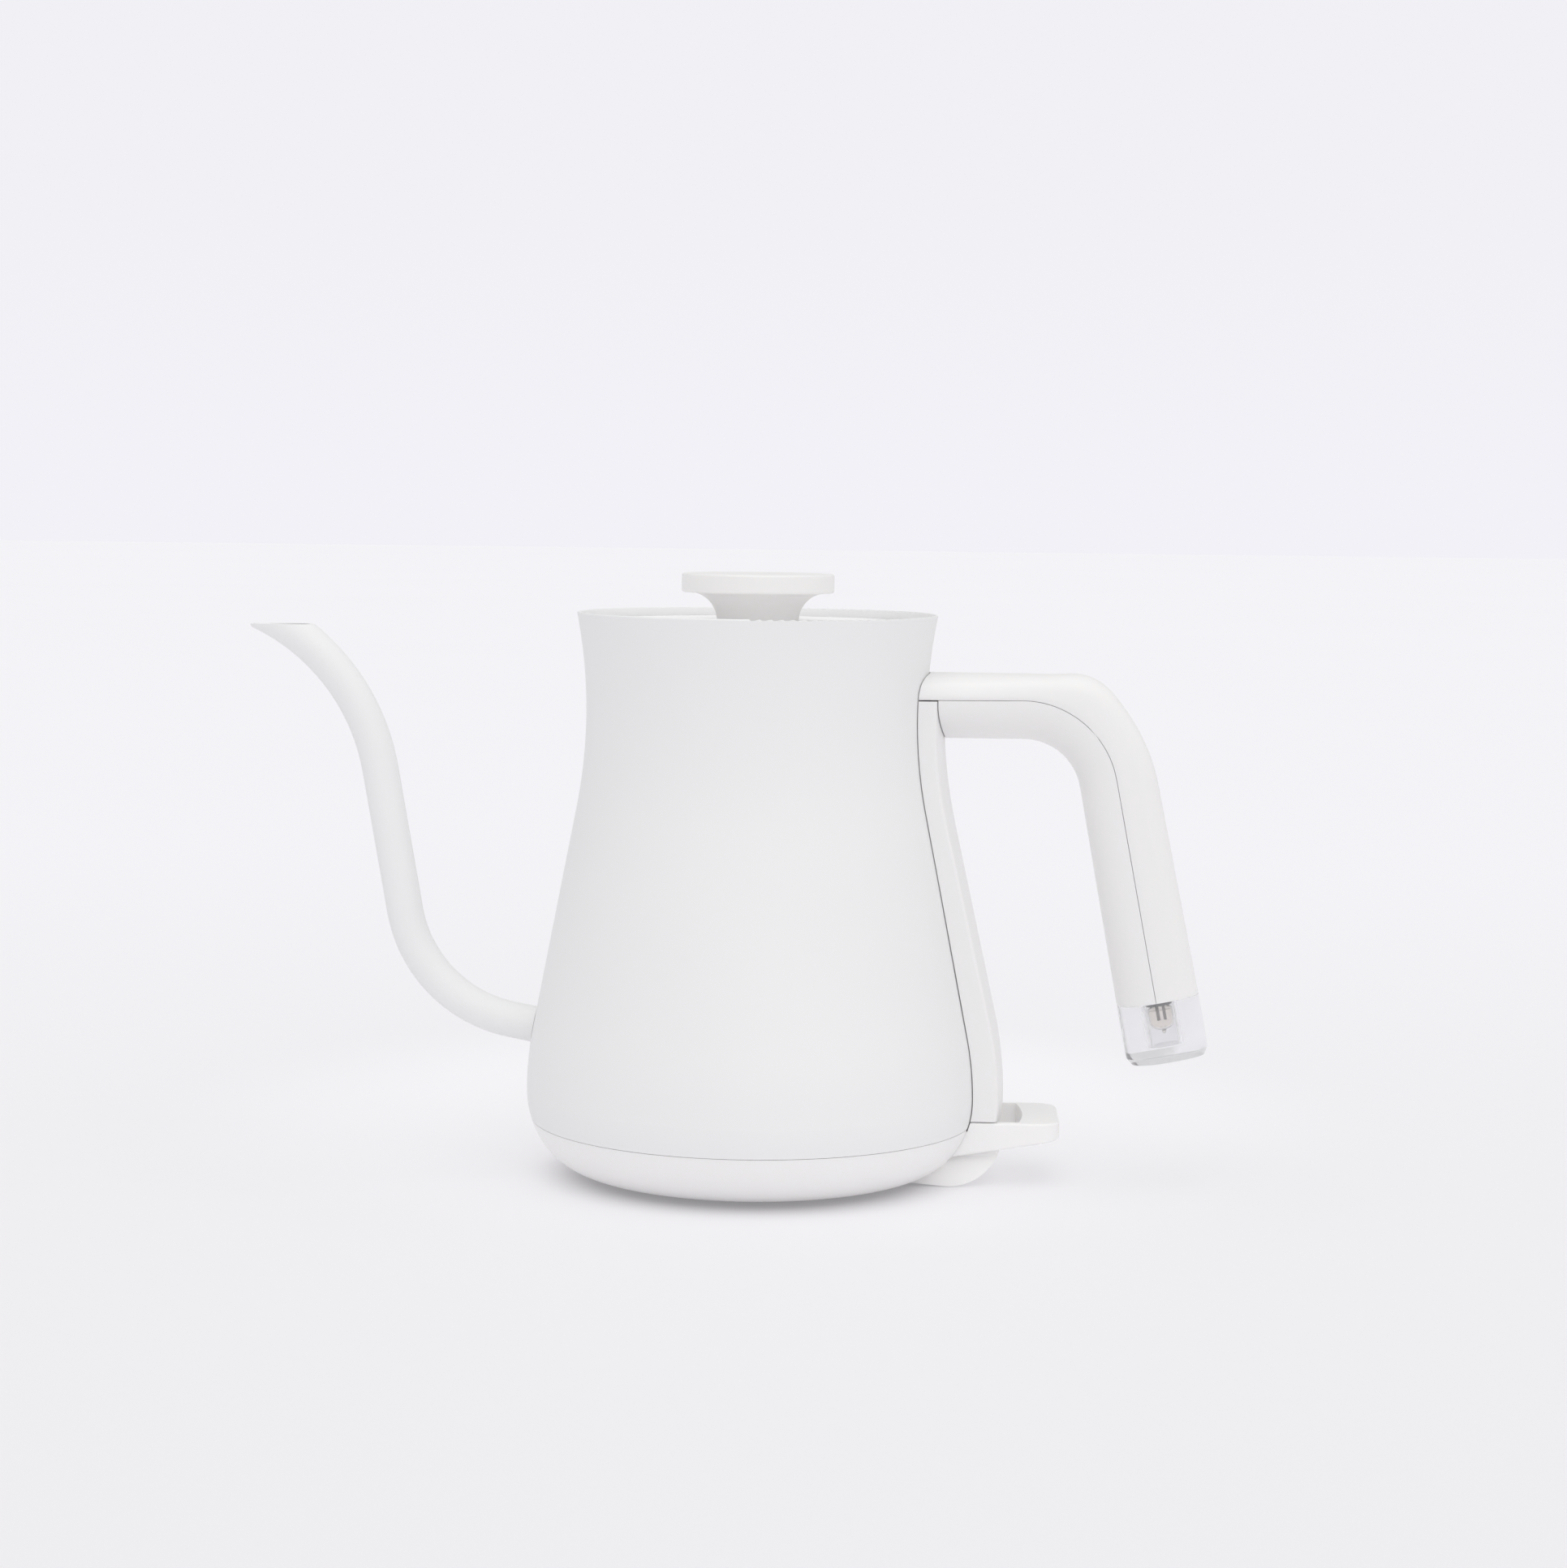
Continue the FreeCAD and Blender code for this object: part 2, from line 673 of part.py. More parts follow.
rivet_top_z = plunger_top_z + bridge_thick + rivet_height
strip_z = rivet_top_z + contact_open + rivet_height


def switch_frame():
    """Frame of the switch: foot plate, two pivot lugs, guide plate and posts for the fixed contacts."""
    foot = block(frame_x, (-frame_half, frame_half), frame_z)
    lugs = both_sides(block(lug_x, (frame_half - lug_thick, frame_half), (frame_z[1], guide_z[1])))
    guide = block((guide_x, lug_x[1]), (-frame_half, frame_half), guide_z)
    post_x = (strip_x[1] - strip_post, strip_x[1])
    posts = both_sides(block(post_x, (rivet_y - strip_half, rivet_y + strip_half),
                             (guide_z[0], strip_z - seat_gap)))
    frame = foot.fuse(lugs + [guide] + posts).removeSplitter()
    bore = rod_y(pin_r + run_gap, -belly_r, belly_r, pivot_x, pivot_z)
    shaft = disc(plunger_r + run_gap, guide_z[0] - 1, guide_z[1] + 1, plunger_x)
    return frame.cut([bore, shaft])


def switch_lever():
    """Paddle with two arms round the spine's foot, joined inside by the toe that lifts the plunger."""
    outline = [side(toe_x[0], toe_z[0]), side(lever_root_x, lever_root_z), side(lever_end_x, lever_tip_z),
               side(lever_end_x, lever_top_z), side(lever_root_x, lever_top_z),
               side(lever_root_x, lever_neck_z), side(pivot_x, lever_neck_z),
               side(toe_x[1], toe_z[1]), side(toe_x[0], toe_z[1])]
    lever = face_of(lines(*outline, outline[0])).extrude(across * (2 * lever_half))
    lever.translate(across * -lever_half)
    plan = block((0, lever_end_x), (-lever_half, lever_half), (0, rim_z))
    ends = [e for e in plan.Edges if e.BoundBox.XMin > lever_end_x - 0.01 and e.BoundBox.ZLength > 1]
    lever = lever.common(plan.makeFillet(lever_end_round, ends))
    rims = [e for e in lever.Edges if e.BoundBox.XMin > lever_root_x - 0.01 and e.BoundBox.YLength
            + e.BoundBox.XLength > 1 and e.BoundBox.YLength < 1.9 * lever_half]
    lever = lever.makeFillet(lever_edge, rims)
    window = disc(lever_window_r, 0, rim_z).common(
        block((toe_x[1], lever_end_x), (-lever_inside, lever_inside), (0, rim_z)))
    pot = wall_core(lever_neck_z, floor_z, spine_gap, spine_gap)
    return lever.cut([window, pot, rod_y(pin_r + seat_gap, -belly_r, belly_r, pivot_x, pivot_z)])


def lever_pin():
    return rod_y(pin_r, -lever_half + seat_gap, lever_half - seat_gap, pivot_x, pivot_z)


collar_z = toe_z[1] + collar_rise


def switch_plunger():
    """Rod that the toe lifts, with a collar for its spring."""
    collar = disc(collar_r, collar_z, collar_z + collar_thick, plunger_x)
    return collar.fuse(disc(plunger_r, collar_z, plunger_top_z - seat_gap, plunger_x)).removeSplitter()


def bridge_contact():
    """Bar on the plunger that joins the two fixed contacts."""
    bar = block((plunger_x - bridge_width / 2, plunger_x + bridge_width / 2), (-bridge_half, bridge_half),
                (plunger_top_z, plunger_top_z + bridge_thick))
    rivets = both_sides(disc(rivet_r, plunger_top_z, rivet_top_z, plunger_x, rivet_y))
    return bar.fuse(rivets).removeSplitter()


def fixed_contacts():
    """Two brass strips with contact rivets over the bridge."""
    strip = block(strip_x, (rivet_y - strip_half, rivet_y + strip_half), (strip_z, strip_z + strip_thick))
    strip = strip.fuse(disc(rivet_r, strip_z - rivet_height, strip_z, plunger_x, rivet_y)).removeSplitter()
    return Part.makeCompound(both_sides(strip))


def plunger_spring():
    """Coil spring round the plunger, between its collar and the guide."""
    low = collar_z + collar_thick + spring_wire_r + seat_gap
    height = guide_z[0] - spring_wire_r - seat_gap - low
    helix = Part.makeHelix(height / spring_turns, height, spring_mean_r)
    wire = Part.Wire(helix.Edges)
    start = wire.Edges[0]
    section = Part.Circle(start.valueAt(start.FirstParameter), start.tangentAt(start.FirstParameter),
                          spring_wire_r)
    coil = wire.makePipeShell([Part.Wire([section.toShape()])], True, True)
    coil.translate(side(plunger_x, low))
    print("gap between the spring's turns", round(height / spring_turns - 2 * spring_wire_r, 3))
    return coil


def spine_cover():
    """Channel-shaped cover up the rear of the pot, narrower at its foot between the lever's arms."""
    high = spine_top_z
    low = tongue_top_z + seat_gap
    solid = wall_core(low, high, spine_neck_out, spine_belly_out)
    full = block((0, 2 * belly_r), (-spine_half, spine_half), (spine_shoulder_z, high))
    foot = block((0, 2 * belly_r), (-spine_foot_half, spine_foot_half), (low, high))
    solid = solid.common(full.fuse(foot).removeSplitter())
    sides = [e for e in solid.Edges if abs(abs(e.CenterOfMass.y) - spine_half) < 0.01
             and e.BoundBox.YLength < 0.01 and e.BoundBox.ZLength > 1 and e.BoundBox.XMin > neck_r / 2]
    solid = solid.makeFillet(spine_round, sides)
    inside = wall_core(low - 1, high - spine_wall, spine_neck_out - spine_wall, spine_belly_out - spine_wall)
    hollow = inside.common(block((0, 2 * belly_r), (spine_wall - spine_half, spine_half - spine_wall),
                                 (spine_shoulder_z, high)).fuse(
        block((0, 2 * belly_r), (spine_wall - spine_foot_half, spine_foot_half - spine_wall), (0, high))))
    pot = wall_core(base_clear, rim_z, spine_gap, spine_gap)
    window = block((0, belly_r), (-lead_y - 2 * lead_r, lead_y + 2 * lead_r),
                   (bracket_arm_z - 0.6, handle_z - lead_in + lead_r + part_gap))
    return solid.cut([hollow, pot, window])


def steam_duct():
    """Flat duct in the spine that leads steam from the pot down to the snap disc."""
    outs = (spine_neck_out - spine_wall - part_gap, spine_belly_out - spine_wall - part_gap)
    duct = wall_core(*duct_z, *outs).cut(wall_core(*duct_z, duct_gap, duct_gap))
    duct = duct.common(block((0, 2 * belly_r), (-duct_half, duct_half), duct_z))
    way_z = (duct_z[0] - 1, duct_z[1] - duct_wall)
    way_out = [out - duct_wall for out in outs]
    way = wall_core(*way_z, *way_out).cut(wall_core(*way_z, duct_gap + duct_wall, duct_gap + duct_wall))
    inside = duct_half - duct_wall
    way = way.common(block((0, 2 * belly_r), (-inside, inside), way_z))
    inlet = rod_x(steam_bore_r, 0, wall_r(steam_port_z) + duct_gap + 2 * duct_wall, steam_port_z)
    return duct.cut([way, inlet])


def steam_port_gasket():
    """Grommet in the pot's steam hole, with its flange inside the pot."""
    top_r = wall_r(steam_port_z + grommet_flange_r, -pot_wall, -pot_wall)
    inner_x = math.sqrt(top_r ** 2 - grommet_flange_r ** 2) - seat_gap
    outer_x = wall_r(steam_port_z + steam_port_r) + duct_gap / 2
    grommet = rod_x(steam_port_r - seat_gap, inner_x - grommet_flange, outer_x, steam_port_z)
    grommet = grommet.fuse(rod_x(grommet_flange_r, inner_x - grommet_flange, inner_x, steam_port_z))
    return grommet.removeSplitter().cut(rod_x(steam_bore_r, 0, belly_r, steam_port_z))


def steam_bimetal():
    """Snap disc that the steam trips, upright in its slot in the tongue."""
    return rod_x(steam_disc_r, steam_disc_x, steam_disc_x + steam_disc_thick, steam_disc_z)


bend_turn = math.pi / 2 - handle_lean
bend_length = handle_bend * bend_turn
handle_end = bend_length + handle_run


def handle_at(way):
    """Point on the handle's path and the outward direction there."""
    middle = side(handle_bend_x, handle_z - handle_bend)
    angle = min(max(way / handle_bend, 0.0), bend_turn)
    outward = side(math.sin(angle), math.cos(angle))
    along = side(math.cos(angle), -math.sin(angle))
    rest = way - angle * handle_bend
    return middle + outward * handle_bend + along * rest, outward


def handle_outline(z, end_x, bends):
    """Outline of the handle from the side: a level run, bends and a leaning run."""
    point, heading = side(end_x, z), 0.0
    edges = lines(side(0, z), point)
    for radius, turn in bends:
        arc, point, heading = bend(point, heading, radius, -turn)
        edges.append(arc)
    return Part.Wire(edges + lines(point, onward(point, heading, 2 * handle_run)))


def depth_to(outline, way, hand):
    """Distance from the path to an outline, outwards (1) or inwards (-1)."""
    point, outward = handle_at(way)
    ray = lines(point, point + outward * (hand * handle_bend))[0]
    return (ray.distToShape(outline)[1][0][0] - point).Length


def half_at(way):
    """Half width of the handle, which eases from the wide root to the narrow run."""
    share = 1 / (1 + math.exp((way - handle_taper_way) / handle_taper))
    return handle_tip_half + (handle_root_half - handle_tip_half) * share


def handle_stations(hand, inset=0.0, more=0):
    """Way, half width and depth at even steps along the outer (1) or inner (-1) half, with more steps
    past both ends for a cut."""
    if hand > 0:
        outline = handle_outline(handle_z + handle_top_rise, handle_bend_x + handle_top_run, handle_back_bends)
    else:
        outline = handle_outline(handle_z - handle_under_drop, handle_bend_x + handle_under_run,
                                 handle_under_bends)
    step = (handle_end - handle_start) / handle_steps
    ways = [handle_start + step * i for i in range(-more, handle_steps + 1 + more)]
    return [(way, half_at(way) - inset, depth_to(outline, way, hand) - inset) for way in ways]


def handle_point(way, y, out):
    point, outward = handle_at(way)
    return point + outward * out + across * y


def section(way, half, depth, low, hand, power):
    """Points round half a section, outside (1) or inside (-1) the seam. A power of 2 gives half an
    ellipse and a higher one squarer shoulders."""
    points = []
    for i in range(section_steps + 1):
        angle = math.pi * i / section_steps
        wide = math.copysign(abs(math.cos(angle)) ** (2 / power), math.cos(angle))
        deep = abs(math.sin(angle)) ** (2 / power) if 0 < i < section_steps else 0.0
        points.append(handle_point(way, half * wide, low + (depth * hand - low) * deep))
    return points


def shell_solid(stations, low, hand, power):
    """Solid with a smooth side through the sections at all stations, flat along the seam."""
    grid = [section(way, half, depth, low, hand, power) for way, half, depth in stations]
    skin = Part.BSplineSurface()
    skin.interpolate(grid)
    u0, u1, v0, v1 = skin.bounds()
    seam = Part.makeRuledSurface(skin.vIso(v0).toShape(), skin.vIso(v1).toShape())
    caps = [Part.Face(Part.Wire([skin.uIso(u).toShape()] + lines(row[-1], row[0])))
            for u, row in ((u0, grid[0]), (u1, grid[-1]))]
    shell = Part.makeShell([skin.toShape(), seam] + caps)
    shell.sewShape()
    solid = Part.makeSolid(shell)
    if solid.Volume < 0:
        solid.reverse()
    return solid


def handle_half(hand, power):
    """One hollow half of the handle, outside (1) or inside (-1) the seam."""
    low = hand * seam_gap / 2
    shell = shell_solid(handle_stations(hand), low, hand, power)
    hollow = shell_solid(handle_stations(hand, handle_wall, 1), low - hand * handle_wall, hand, 2)
    return shell.cut(hollow)


def handle_outer_shell():
    """Top and back half of the handle."""
    return handle_half(1, handle_shoulder).cut(wall_core(seam_z, rim_z, spine_gap, spine_gap))


def handle_inner_shell():
    """Under and front half of the handle, half round, up to the spine."""
    shell = handle_half(-1, 2)
    return shell.cut(wall_core(seam_z, rim_z, spine_neck_out + part_gap, spine_belly_out + part_gap))


def handle_bracket():
    """Strap welded to the pot with an arm into the handle."""
    strap = wall_core(*bracket_z, bracket_sheet, bracket_sheet).cut(wall_core(*bracket_z, seat_gap, seat_gap))
    strap = strap.common(block((0, belly_r), (-bracket_half, bracket_half), bracket_z))
    arm_x = wall_r(bracket_arm_z) + bracket_sheet / 2
    arm = block((arm_x, handle_bend_x + bracket_arm_run), (-bracket_half, bracket_half),
                (bracket_arm_z, bracket_arm_z + bracket_sheet))
    holes = [disc(handle_screw_r + run_gap, 0, rim_z, x) for x in handle_screw_xs]
    return strap.fuse(arm).removeSplitter().cut(holes)


def handle_insert():
    """Block under the handle's roof that the screws hold down on the bracket's arm."""
    low = bracket_arm_z + bracket_sheet + seat_gap
    hold = block((handle_screw_xs[0] - insert_end, handle_screw_xs[1] + insert_end),
                 (-insert_half, insert_half), (low, insert_top_z))
    corners = [e for e in hold.Edges if e.BoundBox.XLength > 1 and e.BoundBox.ZMin > insert_top_z - 0.01]
    hold = hold.makeChamfer(insert_bevel, corners)
    return hold.cut([disc(handle_screw_r + run_gap, 0, handle_screw_top_z + part_gap, x)
                     for x in handle_screw_xs])


def handle_screws():
    seat = bracket_arm_z - seat_gap
    return Part.makeCompound([
        disc(handle_screw_r, seat, handle_screw_top_z, x).fuse(
            disc(handle_screw_head_r, seat - handle_screw_head, seat, x)).removeSplitter()
        for x in handle_screw_xs])


def placed(shape, way, out=0.0):
    """Put a shape that was drawn down the Z axis on the leaning run of the handle."""
    point, outward = handle_at(way)
    along = side(math.sin(handle_lean), -math.cos(handle_lean))
    turn = FreeCAD.Rotation(outward, along.cross(outward), along, "ZXY")
    moved = shape.copy()
    moved.Placement = FreeCAD.Placement(point + outward * out, turn)
    return moved


def handle_lens():
    """Clear tip with a bevelled end and a pocket for the lamp."""
    half = half_at(handle_end)
    out, depth = [handle_stations(hand)[-1][2] for hand in (1, -1)]
    wires = []
    for reach, inset in ((seat_gap, 0), (lens_length - lens_bevel, 0), (lens_length, lens_inset)):
        way = handle_end + reach
        curves = []
        for hand, deep, power in ((1, out, handle_shoulder), (-1, depth, 2)):
            curve = Part.BSplineCurve()
            curve.interpolate(section(way, half - inset, deep - inset, 0, hand, power)[::hand])
            curves.append(curve.toShape())
        wires.append(Part.Wire(curves))
    lens = Part.makeLoft(wires, True, True)
    pocket = placed(disc(pocket_r, 0, pocket_depth), handle_end, lamp_out)
    return lens.cut(pocket)


def neon_lamp():
    """Glass tube with a domed end."""
    def bulb(r, top, length):
        body = disc(r, top, top + length - r)
        dome = Part.makeSphere(r, side(0, top + length - r))
        return body.fuse(dome).removeSplitter()

    glass = bulb(lamp_r, lamp_top, lamp_length).cut(
        bulb(lamp_r - lamp_glass, lamp_top + lamp_glass, lamp_length - 2 * lamp_glass))
    return placed(glass, handle_end, lamp_out)


def lamp_electrodes():
    """Two metal rods inside the lamp."""
    top = lamp_top + lamp_glass + seat_gap
    rods = [placed(disc(electrode_r, top, top + electrode_length, x), handle_end, lamp_out)
            for x in (-electrode_y, electrode_y)]
    return Part.makeCompound(rods)


def lamp_holder():
    """Block across the end of the handle that holds the lamp and its leads."""
    hold = block((-holder_depth, holder_depth), (-holder_half, holder_half), (-holder_length, 0))
    hold = hold.cut(disc(lamp_r + seat_gap, lamp_top - seat_gap, 1))
    return placed(hold, handle_end, lamp_out)


def lamp_leads():
    """Two insulated leads from the lamp, round the handle and down the spine to the tongue."""
    start = handle_at(handle_end - holder_length - seat_gap)[0] - handle_at(handle_end)[1] * lead_in
    foot = handle_at(bend_length)[0] - handle_at(bend_length)[1] * lead_in
    knee = side(handle_bend_x, handle_z - lead_in)
    half = handle_at(bend_length / 2)
    bow = Part.Arc(foot, half[0] - half[1] * lead_in, knee).toShape()
    # The turn into the spine touches the level run and the spine's neck arc
    nudge = wall_r(neck_z, lead_neck_out) - math.sqrt(wall_r(neck_z, lead_neck_out) ** 2 - lead_y ** 2)
    neck_x = neck_r + neck_curve - nudge
    neck_big = neck_curve - lead_neck_out
    turn_z = knee.z - lead_turn
    turn_x = neck_x - math.sqrt((neck_big - lead_turn) ** 2 - (neck_z - turn_z) ** 2)
    toward = math.atan2(turn_z - neck_z, turn_x - neck_x)
    end_z = neck_z + neck_big * math.sin(toward)
    middle = side(turn_x, turn_z)
    part_way = (math.pi / 2 + (toward % (2 * math.pi))) / 2
    turn = Part.Arc(side(turn_x, knee.z), middle + side(math.cos(part_way), math.sin(part_way)) * lead_turn,
                    middle + side(math.cos(toward), math.sin(toward)) * lead_turn).toShape()
    down = wall_edges(lead_low_z, end_z, lead_neck_out, lead_belly_out)
    for edge in down:
        edge.translate(ahead * -nudge)
    path = Part.__sortEdges__(lines(start, foot) + [bow] + lines(knee, side(turn_x, knee.z)) + [turn] + down)
    lead = tube(path, lead_r)
    lead.translate(across * lead_y)
    return Part.makeCompound(both_sides(lead))


makers = (
    body_shell, spout_tube, lid_cover, lid_inner_plate, lid_gasket, lid_knob, knob_screw,
    heater_plate, heat_spreader, heating_element, plate_seal,
    base_housing, bottom_cover, base_screws, foot_ring,
    connector_unit, connector_contacts, dry_boil_bimetals,
    switch_frame, switch_lever, lever_pin, switch_plunger, bridge_contact, fixed_contacts, plunger_spring,
    spine_cover, steam_duct, steam_port_gasket, steam_bimetal,
    handle_outer_shell, handle_inner_shell, handle_bracket, handle_insert, handle_screws,
    handle_lens, neon_lamp, lamp_electrodes, lamp_holder, lamp_leads,
)

for maker in makers:
    shape = maker()
    print(maker.__name__, len(shape.Solids), "solids", round(shape.Volume, 2), shape.isValid())
    shape.exportStep("parts/" + maker.__name__ + ".step")
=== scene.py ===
import bmesh
import bpy
import json
import math
from mathutils import Matrix, Vector


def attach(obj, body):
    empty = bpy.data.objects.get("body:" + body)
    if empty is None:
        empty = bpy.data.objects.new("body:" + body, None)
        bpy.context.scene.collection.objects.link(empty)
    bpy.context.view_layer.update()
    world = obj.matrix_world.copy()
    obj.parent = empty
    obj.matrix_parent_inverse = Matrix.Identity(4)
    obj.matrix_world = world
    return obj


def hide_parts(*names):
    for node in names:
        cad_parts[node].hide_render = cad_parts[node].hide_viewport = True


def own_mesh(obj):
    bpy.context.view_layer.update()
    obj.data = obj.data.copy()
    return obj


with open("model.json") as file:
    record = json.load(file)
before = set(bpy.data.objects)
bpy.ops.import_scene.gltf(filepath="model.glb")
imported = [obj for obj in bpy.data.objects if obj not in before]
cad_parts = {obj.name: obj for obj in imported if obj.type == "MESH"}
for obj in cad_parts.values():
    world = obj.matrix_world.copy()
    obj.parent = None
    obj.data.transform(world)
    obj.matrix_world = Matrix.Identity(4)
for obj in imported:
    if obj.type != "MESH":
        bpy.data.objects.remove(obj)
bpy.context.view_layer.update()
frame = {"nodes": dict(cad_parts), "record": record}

MM = 0.001


# Colour and node helpers

def linear(code):
    """Linear RGBA of an sRGB hex colour."""
    parts = [int(code[i:i + 2], 16) / 255 for i in (1, 3, 5)]
    return [c / 12.92 if c <= 0.04045 else ((c + 0.055) / 1.055) ** 2.4 for c in parts] + [1.0]


def add(tree, kind, inputs=None, **settings):
    """Adds a node with its settings, and sets or links its inputs."""
    node = tree.nodes.new(kind)
    for name, value in settings.items():
        setattr(node, name, value)
    for socket, value in (inputs or {}).items():
        if isinstance(value, bpy.types.NodeSocket):
            tree.links.new(value, node.inputs[socket])
        else:
            node.inputs[socket].default_value = value
    return node


def material(name):
    """An empty node material with its tree and Object coordinates."""
    made = bpy.data.materials.new(name)
    made.use_nodes = True
    tree = made.node_tree
    tree.nodes.clear()
    place = add(tree, "ShaderNodeTexCoord").outputs["Object"]
    return made, tree, place


def closed(made, tree, **inputs):
    """Ends a material in its shader, whose inputs are named with _ for a space."""
    named = {name.replace("_", " "): value for name, value in inputs.items()}
    shader = add(tree, "ShaderNodeBsdfPrincipled", named)
    add(tree, "ShaderNodeOutputMaterial", {"Surface": shader.outputs["BSDF"]})
    return made


def clouded(tree, place, light, dark, size_mm):
    """Two near tones in soft clouds of the given size."""
    clouds = add(tree, "ShaderNodeTexNoise", {"Vector": place, "Scale": 1 / (size_mm * MM), "Detail": 3.0})
    tone = add(tree, "ShaderNodeMix", {"Factor": clouds.outputs["Fac"], "A": linear(dark),
                                       "B": linear(light)}, data_type="RGBA")
    return tone.outputs["Result"]


CLOUD_MM = 45          # width of the soft clouds in a coat or a large moulding
GRAIN_GLOSS = 0.05     # how far a grain moves the roughness either way
MARK_GLOSS = 0.08      # how far tool marks move it


def grained(name, light, dark, roughness, grain_mm, depth_mm, cloud_mm=CLOUD_MM, **inputs):
    """Moulded, cast or coated surface: near tones in wide clouds, and an even grain in gloss and relief."""
    made, tree, place = material(name)
    grain = add(tree, "ShaderNodeTexNoise", {"Vector": place, "Scale": 1 / (grain_mm * MM), "Detail": 2.0})
    gloss = add(tree, "ShaderNodeMapRange", {"Value": grain.outputs["Fac"], "To Min": roughness - GRAIN_GLOSS,
                                             "To Max": roughness + GRAIN_GLOSS})
    bump = add(tree, "ShaderNodeBump", {"Height": grain.outputs["Fac"], "Strength": 0.5,
                                        "Distance": depth_mm * MM})
    return closed(made, tree, Base_Color=clouded(tree, place, light, dark, cloud_mm),
                  Roughness=gloss.outputs["Result"], Normal=bump.outputs["Normal"], **inputs)


def ring_marks(tree, place, step_mm):
    """Fine rings round the pot's axis, as a lathe or a turning brush leaves them."""
    flat = add(tree, "ShaderNodeVectorMath", {0: place, 1: (1, 1, 0)}, operation="MULTIPLY")
    radius = add(tree, "ShaderNodeVectorMath", {0: flat.outputs["Vector"]}, operation="LENGTH")
    height = add(tree, "ShaderNodeSeparateXYZ", {"Vector": place})
    way = add(tree, "ShaderNodeCombineXYZ", {"X": radius.outputs["Value"], "Z": height.outputs["Z"]})
    marks = add(tree, "ShaderNodeTexNoise", {"Vector": way.outputs["Vector"], "Scale": 1 / (step_mm * MM),
                                             "Detail": 4.0, "Roughness": 0.7})
    return marks.outputs["Fac"]


def stroke_marks(tree, place, step_mm):
    """Fine strokes along the height, as a belt leaves them: the pattern is drawn out 25 times."""
    drawn = add(tree, "ShaderNodeMapping", {"Vector": place, "Scale": (1.0, 1.0, 0.04)})
    marks = add(tree, "ShaderNodeTexNoise", {"Vector": drawn.outputs["Vector"], "Scale": 1 / (step_mm * MM),
                                             "Detail": 4.0, "Roughness": 0.7})
    return marks.outputs["Fac"]


def marked_metal(name, marks, light, dark, roughness, step_mm):
    """Bare metal with tool marks that part its gloss and its tone."""
    made, tree, place = material(name)
    lines = marks(tree, place, step_mm)
    tone = add(tree, "ShaderNodeMix", {"Factor": lines, "A": linear(dark), "B": linear(light)},
               data_type="RGBA")
    gloss = add(tree, "ShaderNodeMapRange", {"Value": lines, "To Min": roughness - MARK_GLOSS,
                                             "To Max": roughness + MARK_GLOSS})
    bump = add(tree, "ShaderNodeBump", {"Height": lines, "Strength": 0.3, "Distance": 0.01 * MM})
    return closed(made, tree, Base_Color=tone.outputs["Result"], Metallic=1.0,
                  Roughness=gloss.outputs["Result"], Normal=bump.outputs["Normal"])


# Finishes

COAT = ("#F2F2F2", "#EFEFEF")
COAT_ROUGHNESS = 0.55
PEEL_MM = 0.9          # width of the coat's orange peel
PEEL_DEPTH_MM = 0.02
# The lid's coat is the pot's powder coat painted whiter, as painted light against the shade in the lid's
# recess under the rim and knob
LID_COAT_PAINTED_LIGHT = ("#FCFBFB", "#FAF9F9")
BARE_STEEL = ("#D4D2CE", "#C4C2BE")
STEEL_RING_MM = 0.5
COAT_END = 147.4 * MM  # height inside the pot where the coat ends, at the lid's seat


def coated_pot():
    """Coat outside and over the rim. Below the lid's seat the inside is bare steel with ring marks."""
    made, tree, place = material("powder_coated_steel_bare_inside")
    flat = add(tree, "ShaderNodeVectorMath", {0: place, 1: (1, 1, 0)}, operation="MULTIPLY")
    facing = add(tree, "ShaderNodeNewGeometry")
    outward = add(tree, "ShaderNodeVectorMath", {0: facing.outputs["True Normal"], 1: flat.outputs["Vector"]},
                  operation="DOT_PRODUCT")
    inner = add(tree, "ShaderNodeMath", {0: outward.outputs["Value"], 1: 0.0}, operation="LESS_THAN")
    height = add(tree, "ShaderNodeSeparateXYZ", {"Vector": place})
    low = add(tree, "ShaderNodeMath", {0: height.outputs["Z"], 1: COAT_END}, operation="LESS_THAN")
    both = add(tree, "ShaderNodeMath", {0: inner.outputs["Value"], 1: low.outputs["Value"]},
               operation="MULTIPLY")
    bare = both.outputs["Value"]

    lines = ring_marks(tree, place, STEEL_RING_MM)
    steel = add(tree, "ShaderNodeMix", {"Factor": lines, "A": linear(BARE_STEEL[1]),
                                        "B": linear(BARE_STEEL[0])}, data_type="RGBA")
    steel_gloss = add(tree, "ShaderNodeMapRange", {"Value": lines, "To Min": 0.24, "To Max": 0.4})
    peel = add(tree, "ShaderNodeTexNoise", {"Vector": place, "Scale": 1 / (PEEL_MM * MM), "Detail": 2.0})
    coat_gloss = add(tree, "ShaderNodeMapRange", {"Value": peel.outputs["Fac"],
                                                  "To Min": COAT_ROUGHNESS - GRAIN_GLOSS,
                                                  "To Max": COAT_ROUGHNESS + GRAIN_GLOSS})

    tone = add(tree, "ShaderNodeMix", {"Factor": bare, "A": clouded(tree, place, *COAT, CLOUD_MM),
                                       "B": steel.outputs["Result"]}, data_type="RGBA")
    gloss = add(tree, "ShaderNodeMix", {"Factor": bare, "A": coat_gloss.outputs["Result"],
                                        "B": steel_gloss.outputs["Result"]})
    relief = add(tree, "ShaderNodeMix", {"Factor": bare, "A": peel.outputs["Fac"], "B": lines})
    bump = add(tree, "ShaderNodeBump", {"Height": relief.outputs["Result"], "Strength": 0.5,
                                        "Distance": PEEL_DEPTH_MM * MM})
    return closed(made, tree, Base_Color=tone.outputs["Result"], Metallic=bare,
                  Roughness=gloss.outputs["Result"], Normal=bump.outputs["Normal"])


